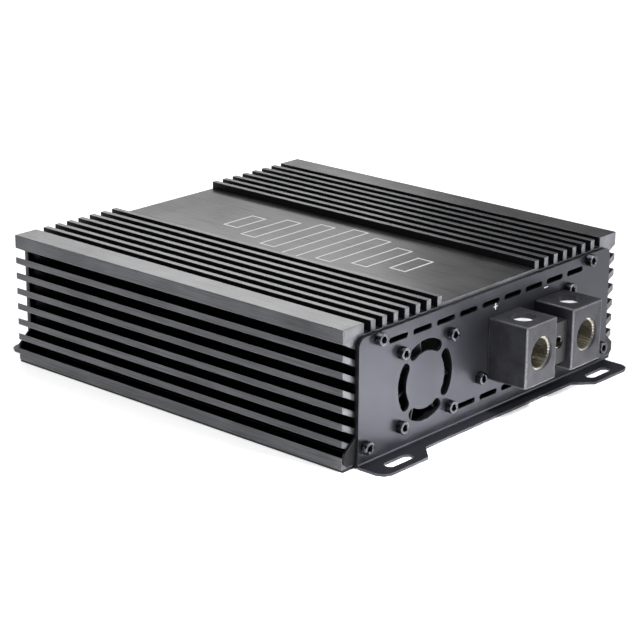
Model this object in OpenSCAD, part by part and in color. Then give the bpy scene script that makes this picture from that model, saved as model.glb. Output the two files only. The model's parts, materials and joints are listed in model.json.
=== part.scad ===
// Monoblock car amplifier: a finned aluminium body closed by two steel end plates with mounting feet.
// X runs across the width, Y from the power end to the signal end, Z up. Millimetres.
// The origin is the centre of the footprint, on the underside.

/* [Heat sink body] */
// Width over the side fins
sink_w = 187.4; // [186:0.2:190]
// Length of the extrusion
sink_l = 194; // [190:1:240]
// Height of the fin tips above the underside
sink_top = 60; // [59.6:0.1:61]
// Thickness of a top fin
fin_t = 2.8; // [2.2:0.1:3.2]
// Distance from one top fin to the next
fin_pitch = 7; // [6.8:0.1:7.1]
// Top fins on each side of the plain panel
fins_per_side = 7; // [4:1:7]
// Depth of the grooves between the top fins
groove_depth = 4.6; // [3.5:0.1:4.8]
// How far the plain panel lies below the fin tips
panel_drop = 3.4; // [2:0.1:3.6]
// Height of a side fin's outer face
side_fin_t = 3; // [2.4:0.1:3.4]
// Distance from one side fin to the next
side_pitch = 7.2; // [7:0.1:7.3]
// Angle that the side fins rise outwards, in degrees
side_fin_tilt = 27; // [20:1:30]

/* [End plates] */
// Thickness of the end plates and the bottom cover
sheet_t = 1.2; // [1:0.1:1.5]
// Thickness of the backing sheets behind the end plates
backing_t = 1; // [0.8:0.1:1.2]
// Width of an end plate
plate_w = 172.8; // [172:0.2:175]
// Height of an end plate
plate_h = 55; // [54.8:0.1:56]
// Depth of the bent strip along the plate's foot
flange_depth = 6.3; // [5.5:0.1:7]
// Depth of the two mounting ears
ear_depth = 14; // [13:0.5:18]
// Distance between the mounting slots across the width
foot_spacing_x = 140; // [136:1:142]
// Width of a mounting slot
foot_slot_w = 5; // [4.2:0.1:5.5]
// Length of a mounting slot, end to end
foot_slot_l = 16; // [12:1:18]

/* [Power terminals] */
// Width of a power terminal block
power_w = 21.4; // [20.6:0.2:22]
// Height of a power terminal block
power_h = 27.6; // [26:0.2:28]
// Reach of a power terminal block in front of the end plate
power_reach = 20.4; // [18:0.2:22]
// Diameter of the cable bore
cable_bore_d = 12.4; // [11:0.2:13]
// Diameter of the set screw
set_screw_d = 10.8; // [8:0.2:11]

/* [Fan] */
// Side of the square fan frame
fan_size = 40; // [40:0.1:40.4]
// Depth of the fan frame
fan_depth = 10; // [10:0.5:12]
// Distance between the fan's screws
fan_screw_spacing = 32; // [31.5:0.1:32.4]
// Blades on the fan rotor
fan_blades = 7; // [5:1:9]

/* [Controls] */
// Diameter of a control knob
knob_d = 7; // [6:0.5:7.5]
// Travel of the phase switch
switch_travel = 3; // [2:0.5:3]

/* [Hidden] */
$fn = 48;
clear = 0.05;                                    // radial running clearance
sink_front = (power_reach - ear_depth - sink_l) / 2;   // end face at the terminals, centres the footprint
sink_back = sink_front + sink_l;
wall_t = 5;                                      // side wall behind the fins
top_t = 5;                                       // roof under the grooves
side_fin_depth = 9.5;
inner_w = sink_w - 2 * (side_fin_depth + wall_t);
inner_x = inner_w / 2;
groove_floor = sink_top - groove_depth;
inner_top = groove_floor - top_t;
first_fin_x = 33.5;                              // centre of the fin beside the plain panel
strip_inner = first_fin_x + fin_pitch * (fins_per_side - 1) + fin_t / 2 + (fin_pitch - fin_t);
rail_top_h = 6;                                  // outer face of the top rail
side_gap = side_pitch - side_fin_t;
side_fins = 6;
corner_r = 4;
stack_t = sheet_t + backing_t;                   // end plate and backing sheet together
plate_x = plate_w / 2;
foot_slot_y = 7.6;                               // slot centre in front of the plate
slot_pitch = 15.2;
slot_l = 12;
slot_w = 2.5;
vent_z = 49.6;
low_vent_z = 8.8;
fan_x = -44.5;
fan_z = 27;
screw_d = 3;
head_d = 5.5;
head_h = 3;
hex_w = 2.9;
plate_screws = [[-74.6, 52.6], [69.6, 52.6], [-82.3, 8.6], [81.2, 8.8]];
vent_x = -1.4;                                   // middle of the rows of vents
plus_x = 7.8;                                    // centre of the positive terminal
minus_x = 40.8;                                  // centre of the ground terminal
power_z = 15.8;                                  // underside of the power terminals
power_mid_z = power_z + power_h / 2;
liner_t = 1.3;
remote_x = (plus_x + minus_x) / 2;
remote_w = minus_x - plus_x - power_w;
remote_z = 20;
remote_h = 18.6;
base_screws = [[-8.4, 18.2], [54.6, 42.8]];
board_x = 77.6;
board_front = sink_front + 16;
board_back = sink_back - 26;
board_z = 8.6;
board_t = 1.6;
board_top = board_z + board_t;
standoff_xy = [for (x = [-62, 62], y = [board_front + 6, board_back - 6]) [x, y]];
device_pitch = 26;
device_y = [for (i = [-2:2]) i * device_pitch - 4];
device_w = 10.4;
device_t = 4.6;
device_z = 22;
pad_t = 0.3;
clamp_t = 5;
clamp_z = 24;
clamp_h = 8;
back_y = sink_back + stack_t;                    // outer face of the rear end plate
knob_x = [-66, -51, -36, -21];
knob_z = 33;
knob_reach = 6;
switch_x = -66;
switch_z = 17;
jack_x = -46;
jack_z = 17;
led_x = [-31, -23];
led_z = 17;
rca_x = [1, 17];
rca_z = [17.5, 34.5];
speaker_x = 52;
speaker_z = 25;
speaker_w = 44;
speaker_h = 18;
speaker_reach = 9;
wire_entry_w = 6.4;                              // width of a speaker wire's way in
speaker_pole_x = [for (i = [-1.5:1.5]) speaker_x + i * 10.4];
input_board_y = sink_back - 12;
shelf_z = 41;                                    // top of the tall parts on the board

// ---- shared shapes ----

// A flat outline in X and Z, made into a sheet from y to y + t
module upright(y, t) { translate([0, y + t, 0]) rotate([90, 0, 0]) linear_extrude(t) children(); }

// A round bar along Y from y to y + l
module bar_y(x, y, z, r, l) { translate([x, y + l, z]) rotate([90, 0, 0]) cylinder(h = l, r = r); }

// A flat slot with round ends, long in X
module slot_2d(x, z, l, w) {
    translate([x - (l - w) / 2, z]) circle(d = w);
    translate([x + (l - w) / 2, z]) circle(d = w);
    translate([x - (l - w) / 2, z - w / 2]) square([l - w, w]);
}

// A plain box between two corners
module block(a, b) { translate(a) cube([b[0] - a[0], b[1] - a[1], b[2] - a[2]]); }

// A socket head cap screw along Y: dir is -1 where the head points to -Y
module cap_screw(x, z, face_y, dir, shank) {
    translate([x, face_y, z]) rotate([-90 * dir, 0, 0]) {
        difference() {
            cylinder(h = head_h, d = head_d);
            translate([0, 0, head_h - 1.8]) cylinder(h = 2, d = hex_w, $fn = 6);
        }
        translate([0, 0, -shank]) cylinder(h = shank, d = screw_d - 2 * clear);
    }
}

// ---- body ----

// Outline of one half of the extrusion, right of the centre
module half_section() {
    tilt = tan(side_fin_tilt);
    outer = sink_w / 2;
    difference() {
        translate([0, sheet_t]) square([outer, sink_top - sheet_t]);
        // room inside
        translate([-1, 0]) square([inner_x + 1, inner_top]);
        // plain panel
        translate([-1, sink_top - panel_drop]) square([first_fin_x - fin_t / 2 + 1, panel_drop + 1]);
        // grooves between the top fins
        for (i = [0:fins_per_side - 1])
            translate([first_fin_x + fin_t / 2 + i * fin_pitch, groove_floor])
                square([fin_pitch - fin_t, groove_depth + 1]);
        // grooves between the side fins: each one slopes down towards the wall
        for (i = [0:side_fins]) {
            top = sink_top - rail_top_h - i * side_pitch;
            low = i < side_fins ? top - side_gap : top - side_gap + 0.3;
            polygon([[outer + 1, top + tilt], [outer - side_fin_depth, top - side_fin_depth * tilt],
                     [outer - side_fin_depth, max(low - side_fin_depth * tilt, sheet_t + 3.2)],
                     [outer - (i < side_fins ? 0 : 3), low - (i < side_fins ? 0 : 3 * tilt)],
                     [outer + 1, low + (i < side_fins ? tilt : 0)]]);
        }
    }
}

module heatsink() {
    color("dimgray") difference() {
        upright(sink_front, sink_l) difference() {
            union() {
                half_section();
                mirror([1, 0]) half_section();
            }
            for (p = plate_screws) translate(p) circle(d = screw_d);
        }
        // tapped holes for the clamp bars
        for (side = [-1, 1], y = clamp_screw_y())
            translate([side * (inner_x + 1.5), y, clamp_z + clamp_h / 2]) rotate([0, 90, 0])
                cylinder(h = 3.1, d = screw_d, center = true);
        for (x = cover_screw_x(), y = cover_screw_y())
            translate([x, y, 0]) cylinder(h = cover_screw_l + 0.2, d = screw_d);
    }
}

cover_screw_l = 3.8;
function clamp_screw_y() = [for (i = [0:3]) (device_y[i] + device_y[i + 1]) / 2];
function cover_screw_x() = [-inner_x - 5, inner_x + 5];
function cover_screw_y() = [sink_front + 14, sink_front + sink_l / 2, sink_back - 14];

module bottom_cover() {
    color("black") difference() {
        block([-sink_w / 2 + 0.6, sink_front, 0], [sink_w / 2 - 0.6, sink_back, sheet_t]);
        for (x = cover_screw_x(), y = cover_screw_y())
            translate([x, y, -1]) cylinder(h = 3, d = screw_d);
        for (x = cover_screw_x(), y = cover_screw_y())
            translate([x, y, -0.01]) cylinder(h = 0.81, d = head_d + 0.1);
    }
}

module bottom_cover_screws() {
    color("dimgray") for (x = cover_screw_x(), y = cover_screw_y())
        translate([x, y, 0]) difference() {
            union() {
                cylinder(h = 0.8, d = head_d);
                cylinder(h = cover_screw_l, d = screw_d - 2 * clear);
            }
            translate([0, 0, -1]) cylinder(h = 1.5, d = 2, $fn = 6);
        }
}

// ---- end plates: drawn for the power end, with y = 0 at the extrusion and the plate towards -Y ----

// Upright outline of an end plate
module plate_outline() {
    translate([-plate_x, 0]) square([plate_w, plate_h - corner_r]);
    translate([-plate_x + corner_r, 0]) square([plate_w - 2 * corner_r, plate_h]);
    for (x = [-plate_x + corner_r, plate_x - corner_r]) translate([x, plate_h - corner_r]) circle(r = corner_r);
}

// Foot strip with its two ears, seen from above; v runs away from the plate
module foot_outline() {
    outer = plate_x;
    inner = outer - 27.5;
    cut = 4.4;
    slope = ear_depth - flange_depth;
    difference() {
        polygon([[-outer, 0], [-outer, ear_depth - cut], [-outer + cut, ear_depth],
                 [-inner, ear_depth], [-inner + slope, flange_depth],
                 [inner - slope, flange_depth], [inner, ear_depth],
                 [outer - cut, ear_depth], [outer, ear_depth - cut], [outer, 0]]);
        for (side = [-1, 1])
            slot_2d(side * foot_spacing_x / 2, foot_slot_y, foot_slot_l, foot_slot_w);
    }
}

// Clearance holes for the plate's screws; way is -1 on the plate that is turned half round
module plate_screw_holes(way) {
    for (p = plate_screws) translate([way * p[0], p[1]]) circle(d = screw_d + 0.3);
}

// An end plate with its foot; the other holes are the children, as a flat outline in X and Z
module end_plate(way) {
    upright(-stack_t, sheet_t) difference() {
        plate_outline();
        plate_screw_holes(way);
        children();
    }
    translate([0, -stack_t, 0]) mirror([0, 1, 0]) linear_extrude(sheet_t) foot_outline();
}

// Backing sheet: an open frame whose lower corners cover the ends of the bottom rails
module backing_sheet(way) {
    rim = 5.6;
    tab = sink_w / 2 - 0.4;
    upright(-backing_t, backing_t) difference() {
        union() {
            plate_outline();
            polygon([[-plate_x, 14], [-tab, 8], [-tab, 4], [-tab + 1.6, 2.4], [tab - 1.6, 2.4], [tab, 4],
                     [tab, 8], [plate_x, 14]]);
        }
        translate([-inner_x + rim, 6.4]) square([2 * (inner_x - rim), plate_h - 4 - 6.4]);
        plate_screw_holes(way);
    }
}

module slots_2d(places, z) { for (i = places) slot_2d(vent_x + i * slot_pitch, z, slot_l, slot_w); }

// One quarter of the fan grille: an arc with round ends
module grille_arc() {
    r_in = 12.4;
    r_out = 17.6;
    r_mid = (r_in + r_out) / 2;
    half_angle = 31;
    intersection() {
        difference() {
            circle(r = r_out);
            circle(r = r_in);
        }
        polygon([[0, 0], 30 * [cos(half_angle), sin(half_angle)], [34, 0],
                 30 * [cos(half_angle), -sin(half_angle)]]);
    }
    // the end rounds stay just inside the band
    for (a = [-half_angle, half_angle]) rotate(a) translate([r_mid, 0]) circle(r = 0.96 * (r_mid - r_in));
}

module front_end_plate() {
    color("darkslategray") translate([0, sink_front, 0]) end_plate(1) {
        slots_2d([-4:4], vent_z);
        slots_2d([-1:4], low_vent_z);
        translate([fan_x, fan_z]) {
            for (a = [0:90:270]) rotate(a) grille_arc();
            for (x = [-0.5, 0.5], z = [-0.5, 0.5])
                translate([x, z] * fan_screw_spacing) circle(d = screw_d + 0.3);
        }
        for (p = base_screws) translate(p) circle(d = screw_d + 0.3);
        for (x = [plus_x, minus_x]) translate([x - 6.2, power_mid_z - 4.2]) square([12.4, 8.4]);
        translate([remote_x - 2.2, power_mid_z - 2.2]) square([4.4, 4.4]);
    }
}

module front_backing_sheet() { color("black") translate([0, sink_front, 0]) backing_sheet(1); }

module front_plate_screws() {
    color("silver") for (p = plate_screws) cap_screw(p[0], p[1], sink_front - stack_t, -1, 8);
}

// Places a power-end shape at the signal end, turned half round
module at_rear() { translate([0, sink_back, 0]) rotate(180) children(); }

module rear_end_plate() {
    color("darkslategray") at_rear() end_plate(-1) {
        slots_2d([-4:4], vent_z);
        scale([-1, 1]) {
            for (x = knob_x) translate([x, knob_z]) circle(d = knob_d + 1);
            translate([switch_x - 4.5, switch_z - 2.4]) square([9, 4.8]);
            translate([jack_x - 6.2, jack_z - 4.7]) square([12.4, 9.4]);
            for (x = led_x) translate([x, led_z]) circle(d = 3.2);
            for (x = rca_x, z = rca_z) translate([x, z]) circle(d = 11);
            translate([speaker_x - speaker_w / 2 + 1.5, speaker_z - speaker_h / 2 + 1.5])
                square([speaker_w - 3, speaker_h - 3]);
        }
    }
}

module rear_backing_sheet() { color("black") at_rear() backing_sheet(-1); }

module rear_plate_screws() {
    color("silver") for (p = plate_screws) cap_screw(p[0], p[1], sink_back + stack_t, 1, 8);
}

// ---- fan ----

fan_front = sink_front - backing_t;              // the fan stands on the back of the end plate
fan_bore_r = 18.6;
hub_r = 9.5;
blade_tip_r = 17.9;

module fan_frame() {
    hub_plate = 1.6;
    color("#1c1c1e") translate([fan_x, fan_front, fan_z]) difference() {
        union() {
            difference() {
                translate([-fan_size / 2, 0, -fan_size / 2]) cube([fan_size, fan_depth, fan_size]);
                bar_y(0, -1, 0, fan_bore_r, fan_depth + 2);
            }
            // motor plate and its three struts, at the back
            bar_y(0, fan_depth - hub_plate, 0, hub_r, hub_plate);
            for (a = [30, 150, 270]) rotate([0, a, 0])
                translate([hub_r - 1, fan_depth - hub_plate, -1]) cube([fan_bore_r - hub_r + 1.6, hub_plate, 2]);
            // bearing tube
            bar_y(0, fan_depth - 5.6, 0, 2.4, 5.6);
        }
        bar_y(0, -1, 0, 1 + clear, fan_depth + 0.2);
        for (x = [-0.5, 0.5], z = [-0.5, 0.5])
            bar_y(x * fan_screw_spacing, -1, z * fan_screw_spacing, 1.6, fan_depth + 2);
    }
}

module fan_shaft() {
    color("silver") bar_y(fan_x, fan_front + 2.1, fan_z, 1, 6.7);
}

module fan_coil() {
    color("#b06a35") translate([fan_x, fan_front + 4.8, fan_z]) difference() {
        bar_y(0, 0, 0, 6.4, 3.6);
        bar_y(0, -1, 0, 2.5, 6);
        for (a = [45:90:315]) rotate([0, a, 0]) translate([2.2, -1, -0.7]) cube([5, 6, 1.4]);
    }
}

module fan_rotor() {
    cup_t = 1.2;
    cup_depth = 7;
    pitch_angle = 38;
    color("#26262a") translate([fan_x, fan_front + 0.9, fan_z]) {
        difference() {
            bar_y(0, 0, 0, hub_r, cup_depth);
            bar_y(0, cup_t, 0, hub_r - cup_t, cup_depth);
        }
        intersection() {
            for (i = [0:fan_blades - 1]) rotate([0, i * 360 / fan_blades, 0])
                translate([hub_r - 0.6, cup_depth / 2, 0]) rotate([pitch_angle, 0, 0])
                    translate([0, -4.2, -0.45]) cube([12, 8.4, 0.9]);
            difference() {
                bar_y(0, 0.2, 0, blade_tip_r, cup_depth - 0.6);
                bar_y(0, -1, 0, hub_r - 0.3, cup_depth + 2);
            }
        }
    }
}

module fan_screws() {
    color("silver") for (x = [-0.5, 0.5], z = [-0.5, 0.5])
        cap_screw(fan_x + x * fan_screw_spacing, fan_z + z * fan_screw_spacing, sink_front - stack_t, -1, 14.2);
}

module fan_nuts() {
    color("silver") for (x = [-0.5, 0.5], z = [-0.5, 0.5])
        translate([fan_x + x * fan_screw_spacing, fan_front + fan_depth, fan_z + z * fan_screw_spacing])
            rotate([-90, 0, 0]) difference() {
                cylinder(h = 2.4, d = 6.2, $fn = 6);
                translate([0, 0, -1]) cylinder(h = 5, d = screw_d);
            }
}

// Lead from the fan's motor plate: out to the back, round a bend, down to the board
module fan_lead() {
    lead_r = 1.1;
    bend_r = 4;
    start_z = fan_z - 6;
    out_y = fan_front + fan_depth + 16;
    color("firebrick") {
        bar_y(fan_x, fan_front + fan_depth, start_z, lead_r, out_y - fan_front - fan_depth);
        translate([fan_x, out_y, start_z - bend_r]) rotate([90, 0, 90]) rotate_extrude(angle = 90)
            translate([bend_r, 0]) circle(r = lead_r);
        translate([fan_x, out_y + bend_r, board_top])
            cylinder(h = start_z - bend_r - board_top, r = lead_r);
    }
}

// ---- power terminals ----

power_front = sink_front - stack_t - power_reach;
power_back = sink_front - stack_t;
base_back = sink_front + 4;                      // inner face of the terminal base
set_screw_y = power_front + power_reach / 2;
set_screw_l = 5.2;

module power_block(x) {
    difference() {
        union() {
            block([x - power_w / 2, power_front, power_z], [x + power_w / 2, power_back, power_z + power_h]);
            block([x - 6, power_back - 0.1, power_mid_z - 4], [x + 6, base_back, power_mid_z + 4]);
        }
        bar_y(x, power_front - 1, power_mid_z, cable_bore_d / 2 + liner_t, power_reach - 2);
        translate([x, set_screw_y, power_mid_z]) cylinder(h = power_h, d = set_screw_d);
    }
}

module cable_liner(x) {
    difference() {
        bar_y(x, power_front + 1.2, power_mid_z, cable_bore_d / 2 + liner_t - clear, power_reach - 4.2);
        bar_y(x, power_front, power_mid_z, cable_bore_d / 2, power_reach);
        translate([x, set_screw_y, power_mid_z]) cylinder(h = power_h, d = set_screw_d);
    }
}

// Hexagon socket set screw, sunk below the top of its block with its tip just above the bore
module set_screw(x) {
    top = power_z + power_h - 2.2;
    translate([x, set_screw_y, top - set_screw_l]) difference() {
        cylinder(h = set_screw_l, d = set_screw_d - 2 * clear);
        translate([0, 0, set_screw_l - 3]) cylinder(h = 5, d = 5.8, $fn = 6);
    }
}

module positive_terminal() { color("#3c3c40") power_block(plus_x); }
module ground_terminal() { color("#3c3c40") power_block(minus_x); }
module positive_cable_liner() { color("silver") cable_liner(plus_x); }
module ground_cable_liner() { color("silver") cable_liner(minus_x); }
module positive_set_screw() { color("lightgray") set_screw(plus_x); }
module ground_set_screw() { color("lightgray") set_screw(minus_x); }

remote_front = power_front + 2.9;
remote_hole_d = 4.6;
remote_liner_t = 0.6;
remote_screw_d = 3.6;
remote_screw_y = remote_front + 4.6;

module remote_terminal() {
    half = remote_w / 2 - 0.3;
    color("#2c2c30") difference() {
        union() {
            block([remote_x - half, remote_front, remote_z], [remote_x + half, power_back, remote_z + remote_h]);
            block([remote_x - 2, power_back - 0.1, power_mid_z - 2], [remote_x + 2, sink_front + 2, power_mid_z + 2]);
        }
        bar_y(remote_x, remote_front - 1, power_mid_z, remote_hole_d / 2 + remote_liner_t, 13);
        translate([remote_x, remote_screw_y, power_mid_z]) cylinder(h = power_h, d = remote_screw_d);
    }
}

// Metal sleeve that the remote wire goes into
module remote_wire_liner() {
    color("silver") difference() {
        bar_y(remote_x, remote_front + 0.6, power_mid_z, remote_hole_d / 2 + remote_liner_t - clear, 11.4);
        bar_y(remote_x, remote_front - 1, power_mid_z, remote_hole_d / 2, 20);
        translate([remote_x, remote_screw_y, power_mid_z]) cylinder(h = power_h, d = remote_screw_d);
    }
}

module remote_clamp_screw() {
    length = 5;
    top = remote_z + remote_h - 1;
    color("silver") translate([remote_x, remote_screw_y, top - length]) difference() {
        cylinder(h = length, d = remote_screw_d - 2 * clear);
        translate([-3, -0.4, length - 0.8]) cube([6, 0.8, 1]);
    }
}

// Insulating base behind the end plate that carries the three terminals
module terminal_base() {
    color("#202022") difference() {
        block([base_screws[0][0] - 5, sink_front - backing_t, 14], [base_screws[1][0] + 5, base_back, 48.2]);
        for (x = [plus_x, minus_x])
            block([x - 6.1, sink_front - 3, power_mid_z - 4.1], [x + 6.1, sink_front + 8, power_mid_z + 4.1]);
        block([remote_x - 2.1, sink_front - 3, power_mid_z - 2.1], [remote_x + 2.1, sink_front + 8, power_mid_z + 2.1]);
        for (p = base_screws) bar_y(p[0], sink_front - 3, p[1], screw_d / 2, 12);
    }
}

module terminal_base_screws() {
    color("silver") {
        cap_screw(base_screws[0][0], base_screws[0][1], sink_front - stack_t, -1, 5);
        cap_screw(base_screws[1][0], base_screws[1][1], sink_front - stack_t, -1, 5);
    }
}

// Copper bar from a terminal's tail down to the board
module bus_bar(x) {
    bar_t = 2;
    difference() {
        union() {
            block([x - 5, base_back, board_top], [x + 5, base_back + bar_t, power_mid_z + 6]);
            block([x - 5, base_back + bar_t, board_top], [x + 5, board_front + 14, board_top + bar_t]);
        }
        bar_y(x, base_back - 1, power_mid_z, 2, 4);
    }
}

module positive_bus_bar() { color("#b87333") bus_bar(plus_x); }
module ground_bus_bar() { color("#b87333") bus_bar(minus_x); }

// ---- electronics ----

module main_circuit_board() {
    color("darkgreen") difference() {
        block([-board_x, board_front, board_z], [board_x, board_back, board_top]);
        for (p = standoff_xy) translate([p[0], p[1], 0]) cylinder(h = 20, d = screw_d + 0.2);
    }
}

module board_standoffs() {
    color("goldenrod") for (p = standoff_xy) translate([p[0], p[1], sheet_t]) difference() {
        cylinder(h = board_z - sheet_t, d = 6.4, $fn = 6);
        translate([0, 0, -1]) cylinder(h = 20, d = screw_d);
    }
}

module board_screws() {
    color("silver") for (p = standoff_xy) translate([p[0], p[1], board_top]) difference() {
        union() {
            cylinder(h = 2, d = head_d);
            translate([0, 0, -6]) cylinder(h = 6, d = screw_d - 2 * clear);
        }
        translate([0, 0, 0.8]) cylinder(h = 2, d = 2.4, $fn = 6);
    }
}

// A row of upright can capacitors
module cans(xs, ys, d, h) {
    for (x = xs, y = ys) translate([x, y, board_top]) {
        cylinder(h = h, d = d);
        translate([0, 0, h - 0.01]) cylinder(h = 0.4, d = d - 2);
    }
}

module input_capacitors() {
    color("#20304a") cans([-12, 6, 24, 42], [board_front + 26, board_front + 44], 16, 28);
}
module output_capacitors() { color("#20304a") cans([26, 44], [board_back - 24, board_back - 8], 13, 22); }

// Toroid standing on the board: a copper winding closed round a ferrite core
module toroid_winding(r_out, r_in, h) {
    rotate_extrude() difference() {
        translate([r_in, 0]) square([r_out - r_in, h]);
        translate([r_in + 3, 3]) square([r_out - r_in - 6, h - 6]);
    }
}

module toroid_core(r_out, r_in, h) {
    rotate_extrude() translate([r_in + 3, 3]) square([r_out - r_in - 6, h - 6]);
}

transformer_y = [board_front + 76, board_front + 121];
transformer_x = -8;

module transformer_windings() {
    color("#b87333") for (y = transformer_y)
        translate([transformer_x, y, board_top + 0.4]) toroid_winding(21, 8, 24);
}

module transformer_cores() {
    color("#3f5f4a") for (y = transformer_y)
        translate([transformer_x, y, board_top + 0.4]) toroid_core(21, 8, 24);
}

choke_place = [36, board_front + 96, board_top + 0.4];

module output_choke_winding() { color("#a8642c") translate(choke_place) toroid_winding(18, 6.5, 22); }
module output_choke_core() { color("#c8b430") translate(choke_place) toroid_core(18, 6.5, 22); }

module driver_board() {
    color("darkgreen") {
        block([-44, board_front + 60, board_top], [-42.4, board_front + 116, shelf_z - 4]);
        block([-42.4, board_front + 66, board_top + 6], [-40.2, board_front + 78, board_top + 18]);
        block([-42.4, board_front + 90, board_top + 6], [-40.2, board_front + 102, board_top + 18]);
    }
}

// Row of power transistors along one side wall
module transistors(side) {
    outer = inner_x - pad_t;
    scale([side, 1, 1]) for (y = device_y) {
        block([outer - device_t, y - device_w / 2, device_z], [outer, y + device_w / 2, device_z + 15]);
        for (leg = [-2.5, 0, 2.5])
            block([outer - 3, y + leg - 0.4, board_top], [outer - 2.4, y + leg + 0.4, device_z + 0.1]);
    }
}

module insulating_pad(side) {
    scale([side, 1, 1]) difference() {
        block([inner_x - pad_t, device_y[0] - 9, device_z - 2], [inner_x, device_y[4] + 9, device_z + 17]);
        for (y = clamp_screw_y()) translate([inner_x, y, clamp_z + clamp_h / 2]) rotate([0, 90, 0])
            cylinder(h = 4, d = screw_d + 0.4, center = true);
    }
}

module clamp_bar(side) {
    outer = inner_x - pad_t - device_t;
    scale([side, 1, 1]) difference() {
        block([outer - clamp_t, device_y[0] - 7, clamp_z], [outer, device_y[4] + 7, clamp_z + clamp_h]);
        for (y = clamp_screw_y()) translate([outer, y, clamp_z + clamp_h / 2]) rotate([0, 90, 0])
            cylinder(h = 20, d = screw_d + 0.2, center = true);
    }
}

module left_transistors() { color("#1a1a1a") transistors(-1); }
module right_transistors() { color("#1a1a1a") transistors(1); }
module left_insulating_pad() { color("lightblue") insulating_pad(-1); }
module right_insulating_pad() { color("lightblue") insulating_pad(1); }
module left_clamp_bar() { color("silver") clamp_bar(-1); }
module right_clamp_bar() { color("silver") clamp_bar(1); }

module clamp_bar_screws() {
    inner = inner_x - pad_t - device_t - clamp_t;
    color("dimgray") for (side = [-1, 1], y = clamp_screw_y()) scale([side, 1, 1])
        translate([inner, y, clamp_z + clamp_h / 2]) rotate([0, 90, 0]) difference() {
            union() {
                translate([0, 0, -2]) cylinder(h = 2, d = head_d);
                cylinder(h = inner_x - inner + 2.4, d = screw_d - 2 * clear);
            }
            translate([0, 0, -3]) cylinder(h = 2, d = 2.4, $fn = 6);
        }
}

// ---- signal end ----

module input_board() {
    color("darkgreen") difference() {
        block([-74, input_board_y, 6], [27, input_board_y + 1.6, 44]);
        for (x = rca_x, z = rca_z) bar_y(x, input_board_y - 1, z, 1.6, 4);
    }
}

rca_face = sink_back + backing_t;                // rear face of the housing, against the end plate

module rca_housing() {
    color("#18181a") difference() {
        block([rca_x[0] - 7, input_board_y + 1.6, 8], [rca_x[1] + 7, rca_face, 43]);
        for (x = rca_x, z = rca_z) bar_y(x, input_board_y + 6, z, 4.2, 20);
    }
}

module rca_barrels() {
    sleeve_front = back_y + 0.8;
    color("gold") for (x = rca_x, z = rca_z) difference() {
        union() {
            bar_y(x, input_board_y + 6, z, 3.9, sleeve_front - input_board_y - 6);
            bar_y(x, sleeve_front, z, 4.15, 8.4);
        }
        bar_y(x, back_y, z, 3.2, 12);
        bar_y(x, input_board_y + 5, z, 1.7, 20);
    }
}

module potentiometer_bodies() {
    color("#2a2a5a") for (x = knob_x) difference() {
        block([x - 5, input_board_y + 1.6, knob_z - 5], [x + 5, input_board_y + 8.6, knob_z + 5]);
        bar_y(x, input_board_y + 3, knob_z, 2 + clear, 20);
    }
}

// Control knob with its shaft, slotted for a small screwdriver
module control_knob(x) {
    length = back_y + knob_reach - input_board_y - 9;
    color("#141416") difference() {
        union() {
            bar_y(x, input_board_y + 3.4, knob_z, 2, 6);
            bar_y(x, input_board_y + 9, knob_z, knob_d / 2, length);
        }
        block([x - knob_d, back_y + knob_reach - 1, knob_z - 0.5], [x + knob_d, back_y + knob_reach + 1, knob_z + 0.5]);
        for (a = [0:30:330]) translate([x, back_y + 0.6, knob_z]) rotate([0, a, 0])
            translate([knob_d / 2, 0, 0]) rotate([-90, 0, 0]) cylinder(h = knob_reach, d = 0.7, $fn = 16);
    }
}

module gain_knob() { control_knob(knob_x[0]); }
module subsonic_knob() { control_knob(knob_x[1]); }
module low_pass_knob() { control_knob(knob_x[2]); }
module bass_boost_knob() { control_knob(knob_x[3]); }

module phase_switch_body() {
    color("#303034") difference() {
        block([switch_x - 7, input_board_y + 1.6, switch_z - 3.4], [switch_x + 7, sink_back, switch_z + 3.4]);
        block([switch_x - 4.2, input_board_y + 5, switch_z - 2.2], [switch_x + 4.2, sink_back + 1, switch_z + 2.2]);
    }
}

module phase_switch_slider() {
    start = switch_x - switch_travel / 2;
    color("#141416") {
        block([start - 1.9, input_board_y + 5.2, switch_z - 2.1], [start + 1.9, sink_back, switch_z + 2.1]);
        block([start - 1.2, sink_back - 0.1, switch_z - 1.6], [start + 1.2, back_y + 2.4, switch_z + 1.6]);
    }
}

module remote_jack() {
    color("#18181a") difference() {
        block([jack_x - 6, input_board_y + 1.6, jack_z - 4.5], [jack_x + 6, back_y + 0.4, jack_z + 4.5]);
        block([jack_x - 4.8, input_board_y + 4, jack_z - 3.2], [jack_x + 4.8, back_y + 1, jack_z + 3]);
    }
}

module status_lights() {
    color("#c03020") for (x = led_x) translate([0, 0, led_z]) {
        bar_y(x, input_board_y + 1.6, 0, 1.45, back_y - input_board_y - 1.2);
    }
}

module speaker_terminal_block() {
    front = sink_back - 14;
    color("#18181a") difference() {
        union() {
            block([speaker_x - speaker_w / 2, back_y, speaker_z - speaker_h / 2],
                  [speaker_x + speaker_w / 2, back_y + speaker_reach, speaker_z + speaker_h / 2]);
            block([speaker_x - speaker_w / 2 + 1.7, front, speaker_z - speaker_h / 2 + 1.7],
                  [speaker_x + speaker_w / 2 - 1.7, back_y + 0.1, speaker_z + speaker_h / 2 - 1.7]);
        }
        for (x = speaker_pole_x) {
            block([x - wire_entry_w / 2, back_y + 0.5, speaker_z - 5.4],
                  [x + wire_entry_w / 2, back_y + speaker_reach + 1, speaker_z + 1.2]);
            translate([x, back_y + speaker_reach / 2, speaker_z]) cylinder(h = speaker_h, d = 5);
        }
    }
}

module speaker_clamp_screws() {
    length = 5;
    top = speaker_z + speaker_h / 2 - 0.8;
    color("silver") for (x = speaker_pole_x)
        translate([x, back_y + speaker_reach / 2, top - length]) difference() {
            cylinder(h = length, d = 5 - 2 * clear);
            translate([0, 0, length - 2]) cylinder(h = 3, d = 2.6, $fn = 6);
        }
}

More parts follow.
